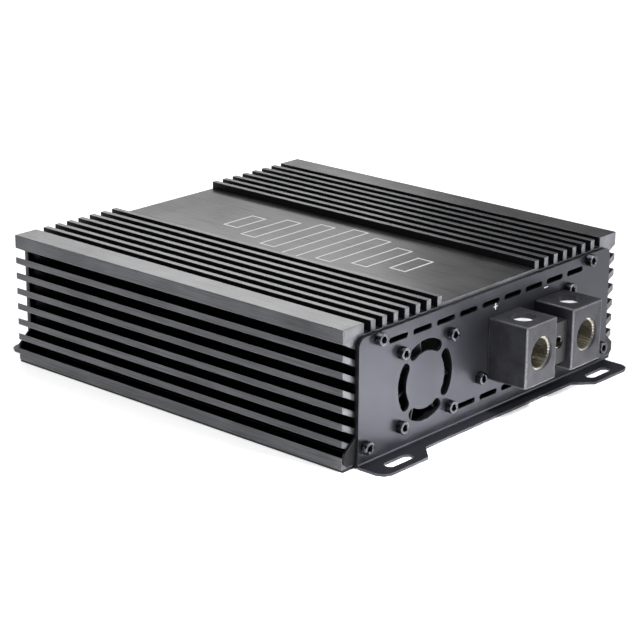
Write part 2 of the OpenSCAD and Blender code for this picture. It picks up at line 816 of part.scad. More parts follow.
heatsink();
bottom_cover();
bottom_cover_screws();
front_end_plate();
front_backing_sheet();
front_plate_screws();
rear_end_plate();
rear_backing_sheet();
rear_plate_screws();
fan_frame();
fan_rotor();
fan_shaft();
fan_coil();
fan_screws();
fan_nuts();
fan_lead();
positive_terminal();
ground_terminal();
positive_cable_liner();
ground_cable_liner();
positive_set_screw();
ground_set_screw();
remote_terminal();
remote_wire_liner();
remote_clamp_screw();
terminal_base();
terminal_base_screws();
positive_bus_bar();
ground_bus_bar();
main_circuit_board();
board_standoffs();
board_screws();
input_capacitors();
output_capacitors();
transformer_windings();
transformer_cores();
output_choke_winding();
output_choke_core();
driver_board();
left_transistors();
right_transistors();
left_insulating_pad();
right_insulating_pad();
left_clamp_bar();
right_clamp_bar();
clamp_bar_screws();
input_board();
rca_housing();
rca_barrels();
potentiometer_bodies();
gain_knob();
subsonic_knob();
low_pass_knob();
bass_boost_knob();
phase_switch_body();
phase_switch_slider();
remote_jack();
status_lights();
speaker_terminal_block();
speaker_clamp_screws();
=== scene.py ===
import bpy, bmesh, json, math
from mathutils import Matrix, Vector


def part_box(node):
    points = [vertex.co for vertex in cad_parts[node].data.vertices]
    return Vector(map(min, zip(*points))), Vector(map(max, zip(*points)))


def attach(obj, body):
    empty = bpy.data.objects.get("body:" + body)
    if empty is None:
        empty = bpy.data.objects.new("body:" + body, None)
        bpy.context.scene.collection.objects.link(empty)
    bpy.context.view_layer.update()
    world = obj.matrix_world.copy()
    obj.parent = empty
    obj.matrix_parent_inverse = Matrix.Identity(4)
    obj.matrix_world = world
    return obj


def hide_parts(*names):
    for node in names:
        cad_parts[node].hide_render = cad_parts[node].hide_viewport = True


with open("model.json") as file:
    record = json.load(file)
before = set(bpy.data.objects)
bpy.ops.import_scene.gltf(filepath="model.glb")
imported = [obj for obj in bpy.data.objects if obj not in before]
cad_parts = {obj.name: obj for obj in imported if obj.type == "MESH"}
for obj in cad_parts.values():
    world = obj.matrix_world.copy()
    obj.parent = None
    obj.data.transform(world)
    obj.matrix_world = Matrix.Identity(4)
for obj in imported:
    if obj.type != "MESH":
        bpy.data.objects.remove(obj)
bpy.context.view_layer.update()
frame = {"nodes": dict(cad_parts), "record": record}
scene = bpy.context.scene
mm = 0.001
bodyLow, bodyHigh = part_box("heatsink")
frontY, backY = bodyLow.y, bodyHigh.y
nodeBody = {node: body for body, nodes in frame["record"]["behaviour"]["bodies"].items() for node in nodes}
nodeSlot = {part["node"]: part["material_slot"] for part in frame["record"]["subparts"]}

# ---- camera ----

cameraSet = dict(place=(-679.94, -506.73, 326.08), heading=48.495, down=18.664, roll=0.393, lens=118.8)


def addCamera():
    heading, down, roll = (math.radians(cameraSet[key]) for key in ("heading", "down", "roll"))
    look = Vector((math.sin(heading) * math.cos(down), math.cos(heading) * math.cos(down), -math.sin(down)))
    right = Vector((math.cos(heading), -math.sin(heading), 0))
    up = right.cross(look)
    turnedRight = right * math.cos(roll) + up * math.sin(roll)
    turnedUp = up * math.cos(roll) - right * math.sin(roll)
    lensData = bpy.data.cameras.new("viewCamera")
    lensData.lens = cameraSet["lens"]
    lensData.sensor_width = 36
    lensData.clip_start = 0.02
    camera = bpy.data.objects.new("viewCamera", lensData)
    axes = Matrix((turnedRight, turnedUp, -look)).transposed().to_4x4()
    camera.matrix_world = Matrix.Translation(Vector(cameraSet["place"]) * mm + Vector((0, frontY, 0))) @ axes
    scene.collection.objects.link(camera)
    scene.camera = camera


addCamera()

# ---- node and material helpers ----


def hexColour(code, alpha=1.0):
    parts = [int(code[i:i + 2], 16) / 255 for i in (1, 3, 5)]
    return [c / 12.92 if c <= 0.04045 else ((c + 0.055) / 1.055) ** 2.4 for c in parts] + [alpha]


def addNode(tree, kind, inputs=None, **settings):
    made = tree.nodes.new(kind)
    for name, value in settings.items():
        setattr(made, name, value)
    for key, value in (inputs or {}).items():
        if isinstance(value, bpy.types.NodeSocket):
            tree.links.new(value, made.inputs[key])
        else:
            made.inputs[key].default_value = value
    return made


def newMaterial(name, **plain):
    material = bpy.data.materials.new(name)
    material.use_nodes = True
    shader = material.node_tree.nodes["Principled BSDF"]
    for key, value in plain.items():
        shader.inputs[key].default_value = value
    return material, material.node_tree, shader


def objectNoise(tree, size, detail=3.0, stretch=(1, 1, 1), roughness=0.5):
    place = addNode(tree, "ShaderNodeTexCoord")
    scaled = addNode(tree, "ShaderNodeMapping", {"Vector": place.outputs["Object"],
                                                 "Scale": [1 / (size * mm * s) for s in stretch]})
    return addNode(tree, "ShaderNodeTexNoise", {"Vector": scaled.outputs["Vector"], "Scale": 1.0,
                                                "Detail": detail, "Roughness": roughness}).outputs["Fac"]


def colourFrom(tree, shader, factor, dark, pale, low=0.3, high=0.7):
    spread = addNode(tree, "ShaderNodeMapRange", {"Value": factor, "From Min": low, "From Max": high})
    mixed = addNode(tree, "ShaderNodeMix", {"Factor": spread.outputs["Result"], 6: hexColour(dark),
                                            7: hexColour(pale)}, data_type="RGBA")
    tree.links.new(mixed.outputs[2], shader.inputs["Base Color"])


def roughnessFrom(tree, shader, factor, smooth, rough, low=0.3, high=0.7):
    spread = addNode(tree, "ShaderNodeMapRange", {"Value": factor, "From Min": low, "From Max": high,
                                                  "To Min": smooth, "To Max": rough})
    tree.links.new(spread.outputs["Result"], shader.inputs["Roughness"])


def bumpFrom(tree, shader, factor, depth, strength=1.0):
    bump = addNode(tree, "ShaderNodeBump", {"Height": factor, "Distance": depth * mm, "Strength": strength})
    tree.links.new(bump.outputs["Normal"], shader.inputs["Normal"])


# ---- materials ----

materials = {}


# Aluminium brushed along its length, then anodised dark: long fine streaks and a soft sheen at low angles
def brushedAnodised(name, dark, pale, smooth, rough, coat):
    material, tree, shader = newMaterial(name, Metallic=0.85)
    shader.inputs["Coat Weight"].default_value = coat
    shader.inputs["Coat Roughness"].default_value = 0.28
    shader.inputs["Coat IOR"].default_value = 1.6
    # real brush lines are about 0.1 mm apart; drawn at 0.6 mm so that they show
    streaks = objectNoise(tree, 0.6, 6.0, (1, 45, 1), 0.75)
    cloud = objectNoise(tree, 24, 2.0)
    both = addNode(tree, "ShaderNodeMath", {0: cloud, 1: 0.35, 2: streaks}, operation="MULTIPLY_ADD")
    colourFrom(tree, shader, both.outputs[0], dark, pale, 0.52, 0.82)
    roughnessFrom(tree, shader, streaks, smooth, rough, 0.35, 0.65)
    bumpFrom(tree, shader, streaks, 0.03, 0.6)
    return material


# Black dyed anodising down in the grooves, where no brush reaches, made near black as painted shade of the
# deep grooves: even, dull and nearly without reflection
def grooveBlackPaintedShade():
    material, tree, shader = newMaterial("black_anodised_groove_painted_shade")
    shader.inputs["Specular IOR Level"].default_value = 0.25
    grain = objectNoise(tree, 1.2, 3.0)
    colourFrom(tree, shader, grain, "#0e0e11", "#16161a")
    roughnessFrom(tree, shader, grain, 0.5, 0.65)
    return material


# Sawn end of the extrusion: paler metal with fine saw marks across it
def sawnAluminium():
    material, tree, shader = newMaterial("sawn_aluminium_end", Metallic=0.9)
    marks = objectNoise(tree, 0.6, 4.0, (1, 1, 9), 0.6)
    cloud = objectNoise(tree, 7, 2.0)
    colourFrom(tree, shader, cloud, "#66676b", "#7e7f84")
    roughnessFrom(tree, shader, marks, 0.36, 0.52)
    bumpFrom(tree, shader, marks, 0.015, 0.6)
    return material


# Bend and cut edges of the anodising, painted a little paler as a painted highlight
def paleEdgeHighlight():
    material, tree, shader = newMaterial("anodised_edge_painted_highlight", Metallic=0.95)
    highlightNoise = objectNoise(tree, 3.5, 4.0, (1, 3, 1), 0.6)
    colourFrom(tree, shader, highlightNoise, "#4c4d51", "#8a8b8f")
    roughnessFrom(tree, shader, highlightNoise, 0.25, 0.4)
    return material


# Steel sheet with a satin dark coat: smooth, faintly blue, soft wide reflections
def satinSheet(name, dark, pale, smooth, rough, metallic=0.8):
    material, tree, shader = newMaterial(name, Metallic=metallic)
    grit = objectNoise(tree, 0.5, 2.0)
    cloud = objectNoise(tree, 30, 2.0)
    colourFrom(tree, shader, cloud, dark, pale)
    roughnessFrom(tree, shader, grit, smooth, rough)
    bumpFrom(tree, shader, grit, 0.006, 0.5)
    return material


# Dark nickel plating on the screws: glossy, with darker patches here and there
def darkNickel():
    material, tree, shader = newMaterial("dark_nickel_plating", Metallic=1.0)
    patch = objectNoise(tree, 1.1, 3.0)
    colourFrom(tree, shader, patch, "#3e3f44", "#66676d")
    roughnessFrom(tree, shader, patch, 0.16, 0.3)
    return material


# Bright nickel: mirror-like with a slightly warm cast and light scuffing
def brightNickel():
    material, tree, shader = newMaterial("bright_nickel_plating", Metallic=1.0)
    scuff = objectNoise(tree, 0.8, 4.0, (1, 1, 3))
    colourFrom(tree, shader, scuff, "#b9b4a6", "#e6e3da")
    roughnessFrom(tree, shader, scuff, 0.1, 0.26)
    bumpFrom(tree, shader, scuff, 0.01, 0.4)
    return material


# Cast terminal blocks under a thin satin dark coat: fine grain and faint mottling
def terminalCoat():
    material, tree, shader = newMaterial("satin_terminal_coat", Metallic=0.55)
    grain = objectNoise(tree, 0.55, 3.0)
    mottle = objectNoise(tree, 5, 3.0)
    colourFrom(tree, shader, mottle, "#303035", "#3f3f45")
    roughnessFrom(tree, shader, grain, 0.36, 0.5)
    bumpFrom(tree, shader, grain, 0.02, 0.5)
    return material


# Plain colours with a grain, for mouldings, boards, wire and small parts
def grainedFinish(name, dark, pale, smooth, rough, grain, depth, metallic=0.0):
    material, tree, shader = newMaterial(name, Metallic=metallic)
    speck = objectNoise(tree, grain, 3.0)
    colourFrom(tree, shader, speck, dark, pale)
    roughnessFrom(tree, shader, speck, smooth, rough)
    bumpFrom(tree, shader, speck, depth, 0.5)
    return material


def makeMaterials():
    m = materials
    m["brushed"] = brushedAnodised("brushed_anodised_aluminium", "#4a4a4c", "#7c7c7e", 0.26, 0.42, 0.6)
    m["panel"] = brushedAnodised("brushed_anodised_panel", "#2e2e30", "#69696b", 0.26, 0.4, 0.5)
    # the copy for the outer sides is painted darker than the top copy: painted shade against the bright
    # floor they mirror
    m["side"] = brushedAnodised("brushed_anodised_side_painted_shade", "#3a3b3e", "#606165", 0.3, 0.46, 0.3)
    m["groove"] = grooveBlackPaintedShade()
    m["sawn"] = sawnAluminium()
    # the rounded edges take a paler finish: a painted highlight
    m["edge"] = paleEdgeHighlight()
    m["black_steel"] = satinSheet("satin_coated_steel", "#3f4047", "#484950", 0.28, 0.36)
    m["backing"] = satinSheet("black_backing_sheet", "#0c0c0d", "#121214", 0.4, 0.5, 0.2)
    m["screw_steel"] = darkNickel()
    m["bright_metal"] = brightNickel()
    m["terminal_coating"] = terminalCoat()
    # the block's rounded edges are painted paler than the coat, as a painted highlight
    m["terminal_edge_highlight"] = grainedFinish("terminal_rim_painted_highlight", "#4b4b50", "#6c6c72", 0.3, 0.42, 0.9, 0.01, 0.7)
    # warm tin on the inside of the cable bores, and bright zinc on the set screws, its near-white
    # half-diffuse colour partly a painted reflection of the light above
    m["tin_plating"] = grainedFinish("warm_tin_plating", "#bdb5a6", "#ece7dc", 0.28, 0.4, 0.7, 0.01, 1.0)
    m["zinc"] = grainedFinish("bright_zinc_painted_reflection", "#eceef0", "#fbfbfb", 0.38, 0.5, 1.2, 0.004, 0.45)
    # moulded plastic: fine spark-eroded texture
    m["black_plastic"] = grainedFinish("moulded_black_plastic", "#0e0e10", "#17171a", 0.38, 0.52, 0.45, 0.02)
    m["blue_plastic"] = grainedFinish("moulded_blue_plastic", "#17245c", "#1d2d70", 0.3, 0.4, 0.6, 0.01)
    m["lens_plastic"] = grainedFinish("tinted_lens", "#8e1a14", "#a6231b", 0.08, 0.14, 3, 0.002)
    # lacquered copper wire and bar
    m["copper"] = grainedFinish("lacquered_copper", "#a5562c", "#c8743f", 0.2, 0.34, 0.9, 0.05, 1.0)
    m["brass"] = grainedFinish("gold_plating", "#b8924a", "#dcb866", 0.14, 0.26, 1.0, 0.008, 1.0)
    m["board_laminate"] = grainedFinish("green_board_laminate", "#0d3a20", "#14502c", 0.22, 0.34, 2.2, 0.02)
    m["capacitor_sleeve"] = grainedFinish("blue_sleeve", "#10193a", "#182450", 0.25, 0.35, 4, 0.01)
    m["ferrite"] = grainedFinish("coated_ferrite", "#2a3a30", "#36493d", 0.4, 0.55, 1.4, 0.03)
    m["silicone"] = grainedFinish("thermal_silicone", "#7d8f9b", "#8fa2ae", 0.6, 0.75, 1.0, 0.02)
    m["lead_sheath"] = grainedFinish("soft_lead_sheath", "#5e0f0b", "#741510", 0.45, 0.6, 1.0, 0.01)
    m["print"] = grainedFinish("pale_printed_ink", "#dcdcde", "#f0f0f1", 0.5, 0.6, 0.5, 0.004)
    m["anodised_aluminium"] = m["brushed"]


makeMaterials()
print("materials made:", len(materials))

# ---- mesh helpers ----


def newPiece(name, vertices=(), edges=(), faces=()):
    mesh = bpy.data.meshes.new(name)
    mesh.from_pydata([tuple(v) for v in vertices], list(edges), list(faces))
    piece = bpy.data.objects.new(name, mesh)
    scene.collection.objects.link(piece)
    return piece


def bakeModifiers(piece):
    bpy.context.view_layer.update()
    graph = bpy.context.evaluated_depsgraph_get()
    final = piece.evaluated_get(graph)
    mesh = bpy.data.meshes.new_from_object(final, preserve_all_data_layers=True, depsgraph=graph)
    piece.modifiers.clear()
    piece.data = mesh
    return piece


# Joins the points that share a place, and the triangles of each flat face
def weldPiece(piece):
    work = bmesh.new()
    work.from_mesh(piece.data)
    bmesh.ops.remove_doubles(work, verts=work.verts, dist=1e-6)
    bmesh.ops.dissolve_limit(work, angle_limit=math.radians(0.5), verts=work.verts, edges=work.edges)
    work.to_mesh(piece.data)
    work.free()


def turnFacesOut(piece, weldDistance=0.0):
    work = bmesh.new()
    work.from_mesh(piece.data)
    if weldDistance:
        bmesh.ops.remove_doubles(work, verts=work.verts, dist=weldDistance)
    bmesh.ops.recalc_face_normals(work, faces=work.faces)
    work.to_mesh(piece.data)
    work.free()


# Marks the long sharp edges, so that the short ones round a hole don't hold the bevel back
def markLongEdges(piece, length, angle=35):
    work = bmesh.new()
    work.from_mesh(piece.data)
    weight = work.edges.layers.float.new("bevel_weight_edge")
    for edge in work.edges:
        sharp = len(edge.link_faces) == 2 and edge.calc_face_angle() > math.radians(angle)
        edge[weight] = 1.0 if sharp and edge.calc_length() > length * mm else 0.0
    work.to_mesh(piece.data)
    work.free()


def softenEdges(piece, width, segments=2, edgeMaterial=None, angle=35, sharpAngle=50, longOnly=False):
    bevel = piece.modifiers.new("softEdges", "BEVEL")
    bevel.width = width * mm
    bevel.segments = segments
    bevel.limit_method = "WEIGHT" if longOnly else "ANGLE"
    bevel.angle_limit = math.radians(angle)
    bevel.use_clamp_overlap = True
    if edgeMaterial:
        piece.data.materials.append(edgeMaterial)
        bevel.material = len(piece.data.materials) - 1
    bakeModifiers(piece)
    piece.data.shade_smooth()
    piece.data.set_sharp_from_angle(angle=math.radians(sharpAngle))
    flat = piece.modifiers.new("flatFaces", "WEIGHTED_NORMAL")
    flat.keep_sharp = True
    flat.weight = 100
    return bakeModifiers(piece)


def paint(piece, material):
    piece.data.materials.clear()
    piece.data.materials.append(material)


def settle(piece, *nodes):
    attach(piece, nodeBody[nodes[0]])
    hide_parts(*nodes)


def newTree(name, sockets):
    tree = bpy.data.node_groups.new(name, "GeometryNodeTree")
    tree.interface.new_socket(name="Geometry", in_out="INPUT", socket_type="NodeSocketGeometry")
    for socketName, kind in sockets:
        tree.interface.new_socket(name=socketName, in_out="INPUT", socket_type="NodeSocket" + kind)
    tree.interface.new_socket(name="Geometry", in_out="OUTPUT", socket_type="NodeSocketGeometry")
    start = tree.nodes.new("NodeGroupInput")
    end = tree.nodes.new("NodeGroupOutput")
    return tree, start.outputs, end.inputs["Geometry"]


def runTree(piece, tree, values):
    modifier = piece.modifiers.new(tree.name, "NODES")
    modifier.node_group = tree
    for item in tree.interface.items_tree:
        if item.item_type == "SOCKET" and item.in_out == "INPUT" and item.name in values:
            modifier[item.identifier] = values[item.name]
    return bakeModifiers(piece)


# ---- finned body ----

finnedBody = dict(
    halfWidth=93.7, top=60.0, base=1.2, grooveFloor=55.4, panelTop=56.6, panelHalf=32.1, stripInner=81.1,
    finPitch=7.0, finThick=2.8, firstFin=33.5, fins=7, wallOuter=84.2, wallInner=79.2, roofUnder=50.4,
    railTop=54.0, sidePitch=7.2, sideFin=3.0, sideDepth=9.5, sideTilt=27.0, sideFins=6,
    lowRailTop=6.5, lowRailInner=4.4, root=1.0, edge=0.22)


def bodyOutline():
    s = finnedBody
    slope = math.tan(math.radians(s["sideTilt"]))
    half = [(s["wallInner"], s["base"]), (s["halfWidth"], s["base"]), (s["halfWidth"], s["lowRailTop"]),
            (s["halfWidth"] - 3, s["lowRailTop"] - 1.1), (s["wallOuter"], s["lowRailInner"]),
            (s["wallOuter"], s["railTop"] - s["sideDepth"] * slope), (s["halfWidth"], s["railTop"]),
            (s["halfWidth"], s["top"]), (s["stripInner"], s["top"]), (s["stripInner"], s["grooveFloor"]),
            (s["panelHalf"], s["grooveFloor"]), (s["panelHalf"], s["panelTop"])]
    mirrored = [(-x, z) for x, z in reversed(half)]
    inside = [(-s["wallInner"], s["roofUnder"]), (s["wallInner"], s["roofUnder"])]
    return half + mirrored + inside


# The outline carries the roof and walls; this adds the fins above and at both sides, then the finishes
def finnedTree():
    tree, given, out = newTree("finnedBody", [
        ("Length", "Float"), ("Middle", "Float"), ("Fin Pitch", "Float"), ("Fin Thickness", "Float"),
        ("Fin Height", "Float"), ("Groove Floor", "Float"), ("First Fin", "Float"), ("Fins", "Int"),
        ("Side Pitch", "Float"), ("Side Thickness", "Float"), ("Side Depth", "Float"),
        ("Side Slope", "Float"), ("Side Start", "Float"), ("Side Fins", "Int"),
        ("Half Width", "Float"), ("Panel Height", "Float"),
        ("Outer Finish", "Material"), ("Panel Finish", "Material"), ("Side Shaded Finish", "Material"),
        ("Groove Shade Finish", "Material"), ("End Finish", "Material")])

    def maths(operation, a, b=0.0):
        return addNode(tree, "ShaderNodeMath", {0: a, 1: b}, operation=operation).outputs[0]

    def vector(x=0.0, y=0.0, z=0.0):
        return addNode(tree, "ShaderNodeCombineXYZ", {0: x, 1: y, 2: z}).outputs[0]

    topFin = addNode(tree, "GeometryNodeMeshCube",
                     {"Size": vector(given["Fin Thickness"], given["Length"], given["Fin Height"])})
    finMiddle = maths("SUBTRACT", given["Groove Floor"], maths("MULTIPLY", given["Fin Height"], -0.5))
    parts = []
    for side in (1, -1):
        spots = addNode(tree, "GeometryNodeMeshLine", {
            "Count": given["Fins"],
            "Start Location": vector(maths("MULTIPLY", given["First Fin"], side), 0.0, finMiddle),
            "Offset": vector(maths("MULTIPLY", given["Fin Pitch"], side))}, mode="OFFSET")
        row = addNode(tree, "GeometryNodeInstanceOnPoints",
                      {"Points": spots.outputs["Mesh"], "Instance": topFin.outputs["Mesh"]})
        parts.append(row.outputs[0])
    # a side fin is a bar sheared so that it falls towards the wall
    sideBar = addNode(tree, "GeometryNodeMeshCube",
                      {"Size": vector(given["Side Depth"], given["Length"], given["Side Thickness"])})
    here = addNode(tree, "ShaderNodeSeparateXYZ", {0: addNode(tree, "GeometryNodeInputPosition").outputs[0]})
    fromTip = maths("SUBTRACT", here.outputs["X"], maths("MULTIPLY", given["Side Depth"], 0.5))
    sheared = addNode(tree, "GeometryNodeSetPosition", {
        "Geometry": sideBar.outputs["Mesh"],
        "Offset": vector(z=maths("MULTIPLY", fromTip, given["Side Slope"]))})
    barX = maths("SUBTRACT", given["Half Width"], maths("MULTIPLY", given["Side Depth"], 0.5))
    rungs = addNode(tree, "GeometryNodeMeshLine", {
        "Count": given["Side Fins"], "Start Location": vector(barX, 0.0, given["Side Start"]),
        "Offset": vector(z=maths("MULTIPLY", given["Side Pitch"], -1.0))}, mode="OFFSET")
    rightSide = addNode(tree, "GeometryNodeInstanceOnPoints",
                        {"Points": rungs.outputs["Mesh"], "Instance": sheared.outputs[0]}).outputs[0]
    leftSide = addNode(tree, "GeometryNodeTransform",
                       {"Geometry": rightSide, "Rotation": (0, 0, math.pi)}).outputs[0]
    joined = addNode(tree, "GeometryNodeJoinGeometry")
    for part in parts + [rightSide, leftSide, given["Geometry"]]:
        tree.links.new(part, joined.inputs[0])
    whole = addNode(tree, "GeometryNodeRealizeInstances", {0: joined.outputs[0]})
    placed = addNode(tree, "GeometryNodeTransform", {"Geometry": whole.outputs[0],
                                                     "Translation": vector(y=given["Middle"])}).outputs[0]
    # finishes by which way a face looks and where it lies, within a small margin
    margin = 0.3 * mm
    facing = addNode(tree, "ShaderNodeSeparateXYZ", {0: addNode(tree, "GeometryNodeInputNormal").outputs[0]})
    at = addNode(tree, "ShaderNodeSeparateXYZ", {0: addNode(tree, "GeometryNodeInputPosition").outputs[0]})
    looksUp = maths("GREATER_THAN", facing.outputs["Z"], 0.9)
    onPanel = maths("MULTIPLY", looksUp, maths("GREATER_THAN", at.outputs["Z"],
                                               maths("SUBTRACT", given["Panel Height"], margin)))
    onTop = maths("MULTIPLY", looksUp, maths("GREATER_THAN", at.outputs["Z"],
                                             maths("ADD", given["Panel Height"], margin)))
    outward = maths("GREATER_THAN", maths("ABSOLUTE", at.outputs["X"]),
                    maths("SUBTRACT", given["Half Width"], margin))
    # outer side faces take the side finish, painted darker as painted shade
    onShadedSide = maths("MULTIPLY", outward, maths("GREATER_THAN", maths("ABSOLUTE", facing.outputs["X"]), 0.9))
    onEnd = maths("GREATER_THAN", maths("ABSOLUTE", facing.outputs["Y"]), 0.9)
    # every face starts with the groove finish, its near black partly painted shade; tops, panel, sides and
    # ends then take their own
    current = addNode(tree, "GeometryNodeSetMaterial",
                      {"Geometry": placed, "Material": given["Groove Shade Finish"]})
    for chosen, finish in ((onPanel, "Panel Finish"), (onTop, "Outer Finish"), (onShadedSide, "Side Shaded Finish"),
                           (onEnd, "End Finish")):
        current = addNode(tree, "GeometryNodeSetMaterial", {
            "Geometry": current.outputs[0], "Selection": chosen, "Material": given[finish]})
    tree.links.new(current.outputs[0], out)
    return tree


def makeFinnedBody():
    s = finnedBody
    outline = bodyOutline()
    length = backY - frontY
    count = len(outline)
    rings = [(x * mm, side * length / 2, z * mm) for side in (-1, 1) for x, z in outline]
    walls = [(i, (i + 1) % count, count + (i + 1) % count, count + i) for i in range(count)]
    ends = [tuple(reversed(range(count))), tuple(range(count, 2 * count))]
    body = newPiece("finned_body", rings, [], walls + ends)
    turnFacesOut(body)
    runTree(body, finnedTree(), {
        "Length": length, "Middle": (frontY + backY) / 2, "Fin Pitch": s["finPitch"] * mm,
        "Fin Thickness": s["finThick"] * mm, "Fin Height": (s["top"] - s["grooveFloor"] + s["root"]) * mm,
        "Groove Floor": (s["grooveFloor"] - s["root"]) * mm,
        "First Fin": s["firstFin"] * mm, "Fins": s["fins"],
        "Side Pitch": s["sidePitch"] * mm, "Side Thickness": s["sideFin"] * mm,
        "Side Depth": (s["sideDepth"] + s["root"]) * mm, "Side Slope": math.tan(math.radians(s["sideTilt"])),
        "Side Start": (s["railTop"] - s["sidePitch"] + s["sideFin"] / 2) * mm, "Side Fins": s["sideFins"],
        "Half Width": s["halfWidth"] * mm, "Panel Height": s["panelTop"] * mm,
        "Outer Finish": materials["brushed"], "Panel Finish": materials["panel"],
        "Side Shaded Finish": materials["side"], "Groove Shade Finish": materials["groove"],
        "End Finish": materials["sawn"]})
    softenEdges(body, s["edge"], 2, materials["edge"])
    settle(body, "heatsink")
    print("finned body made")


makeFinnedBody()

# ---- perforated end plates ----

endPlate = dict(
    thick=1.2, backing=1.0, halfWidth=86.4, height=55.0, corner=4.0, bend=1.0, flange=6.3, ear=14.0,
    earWidth=27.5, earCut=4.4, footSlot=(16.0, 5.0), footSpacing=140.0, footSlotOut=7.6,
    vent=(12.0, 2.5), ventPitch=15.2, ventMiddle=-1.4, ventHigh=49.6, ventLow=8.8, ventsPerRow=9,
    screwHole=1.65, edge=0.16, screwSpots=((-74.6, 52.6), (69.6, 52.6), (-82.3, 8.6), (81.2, 8.8)))
fanSpot = dict(x=-44.5, z=27.0, spacing=32.0, slotInner=12.4, slotOuter=17.6, halfAngle=31.0)
terminalSpots = dict(baseScrews=((-8.4, 18.2), (54.6, 42.8)), plusX=1.8, minusX=37.8)
# holes of the signal end: radii, and how far the outer jacks and lights stand in from their node's box
rearHoles = dict(knob=4.0, jack=5.5, jackInset=4.15, light=1.6, lightInset=1.45, remoteSpare=0.4,
                 switch=(9.0, 4.8), switchShift=1.5, speaker=(41.0, 15.0))


def ring(x, y, radius, count=32):
    return [(x + radius * math.cos(2 * math.pi * i / count), y + radius * math.sin(2 * math.pi * i / count))
            for i in range(count)]


def rectangle(x, y, width, height):
    return [(x - width / 2, y - height / 2), (x + width / 2, y - height / 2),
            (x + width / 2, y + height / 2), (x - width / 2, y + height / 2)]


def turnPoint(x, y, angle):
    return x * math.cos(angle) - y * math.sin(angle), x * math.sin(angle) + y * math.cos(angle)


def fanScrewSpots():
    half = fanSpot["spacing"] / 2
    return [(fanSpot["x"] + x, fanSpot["z"] + z) for x in (-half, half) for z in (-half, half)]


# One slot of the fan's grille: an outer arc, a round end, an inner arc back and a second round end
def grilleSlot(turn):
    inner, outer = fanSpot["slotInner"], fanSpot["slotOuter"]
    half, steps = math.radians(fanSpot["halfAngle"]), 14
    middle, end = (inner + outer) / 2, (outer - inner) / 2
    sweep = [half * (2 * i / steps - 1) for i in range(steps + 1)]
    points = [turnPoint(outer, 0, angle) for angle in sweep]
    for side in (1, -1):
        for i in range(1, 8):
            x, y = turnPoint(end, 0, math.pi * i / 8)
            points.append(turnPoint(middle + x * side, y * side, half * side))
        if side == 1:
            points += [turnPoint(inner, 0, -angle) for angle in sweep]
    placed = [turnPoint(x, y, math.radians(turn)) for x, y in points]
    return [(fanSpot["x"] + x, fanSpot["z"] + y) for x, y in placed]


def uprightOutline():
    s = endPlate
    half, top, corner, low = s["halfWidth"], s["height"], s["corner"], s["thick"] + s["bend"]
    arc = [turnPoint(corner, 0, math.pi / 2 * i / 8) for i in range(9)]
    right = [(half - corner + x, top - corner + y) for x, y in arc]
    return [(-half, low), (half, low)] + right + [(-x, y) for x, y in reversed(right)]


def footOutline():
    s = endPlate
    half, ear, flange, cut, start = s["halfWidth"], s["ear"], s["flange"], s["earCut"], s["bend"]
    inner = half - s["earWidth"]
    right = [(half, start), (half, ear - cut), (half - cut * 0.35, ear - cut * 0.3), (half - cut, ear),
             (inner, ear), (inner - (ear - flange), flange)]
    outline = right + [(-x, y) for x, y in reversed(right)]
    return [(x, -y) for x, y in outline]


def perforatedTree():
    tree, given, out = newTree("perforatedSheet", [
        ("Slot Length", "Float"), ("Slot Width", "Float"), ("Pitch", "Float"),
        ("Upper Slots", "Int"), ("Upper Start", "Vector"), ("Lower Slots", "Int"), ("Lower Start", "Vector"),
        ("Finish", "Material")])
    blank = addNode(tree, "GeometryNodeCurvePrimitiveQuadrilateral",
                    {"Width": given["Slot Length"], "Height": given["Slot Width"]}, mode="RECTANGLE")
    endRadius = addNode(tree, "ShaderNodeMath", {0: given["Slot Width"], 1: 0.499}, operation="MULTIPLY")
    slotCurve = addNode(tree, "GeometryNodeFilletCurve", {"Curve": blank.outputs[0], "Count": 6,
                                                          "Radius": endRadius.outputs[0]}, mode="POLY")
    step = addNode(tree, "ShaderNodeCombineXYZ", {0: given["Pitch"]})
    joined = addNode(tree, "GeometryNodeJoinGeometry")
    for row in ("Upper", "Lower"):
        spots = addNode(tree, "GeometryNodeMeshLine", {
            "Count": given[row + " Slots"], "Start Location": given[row + " Start"],
            "Offset": step.outputs[0]}, mode="OFFSET")
        slots = addNode(tree, "GeometryNodeInstanceOnPoints",
                        {"Points": spots.outputs["Mesh"], "Instance": slotCurve.outputs[0]})
        cut = addNode(tree, "GeometryNodeRealizeInstances", {0: slots.outputs[0]})
        tree.links.new(cut.outputs[0], joined.inputs[0])
    loops = addNode(tree, "GeometryNodeMeshToCurve", {"Mesh": given["Geometry"]})
    tree.links.new(loops.outputs[0], joined.inputs[0])
    filled = addNode(tree, "GeometryNodeFillCurve", {"Curve": joined.outputs[0]}, mode="NGONS")
    whole = addNode(tree, "GeometryNodeRealizeInstances", {0: filled.outputs[0]})
    finished = addNode(tree, "GeometryNodeSetMaterial",
                       {"Geometry": whole.outputs[0], "Material": given["Finish"]})
    tree.links.new(finished.outputs[0], out)
    return tree


sheetTree = perforatedTree()


def loopPiece(name, loops):
    vertices, edges = [], []
    for loop in loops:
        start, count = len(vertices), len(loop)
        vertices += [(x * mm, y * mm, 0) for x, y in loop]
        edges += [(start + i, start + (i + 1) % count) for i in range(count)]
    return newPiece(name, vertices, edges)


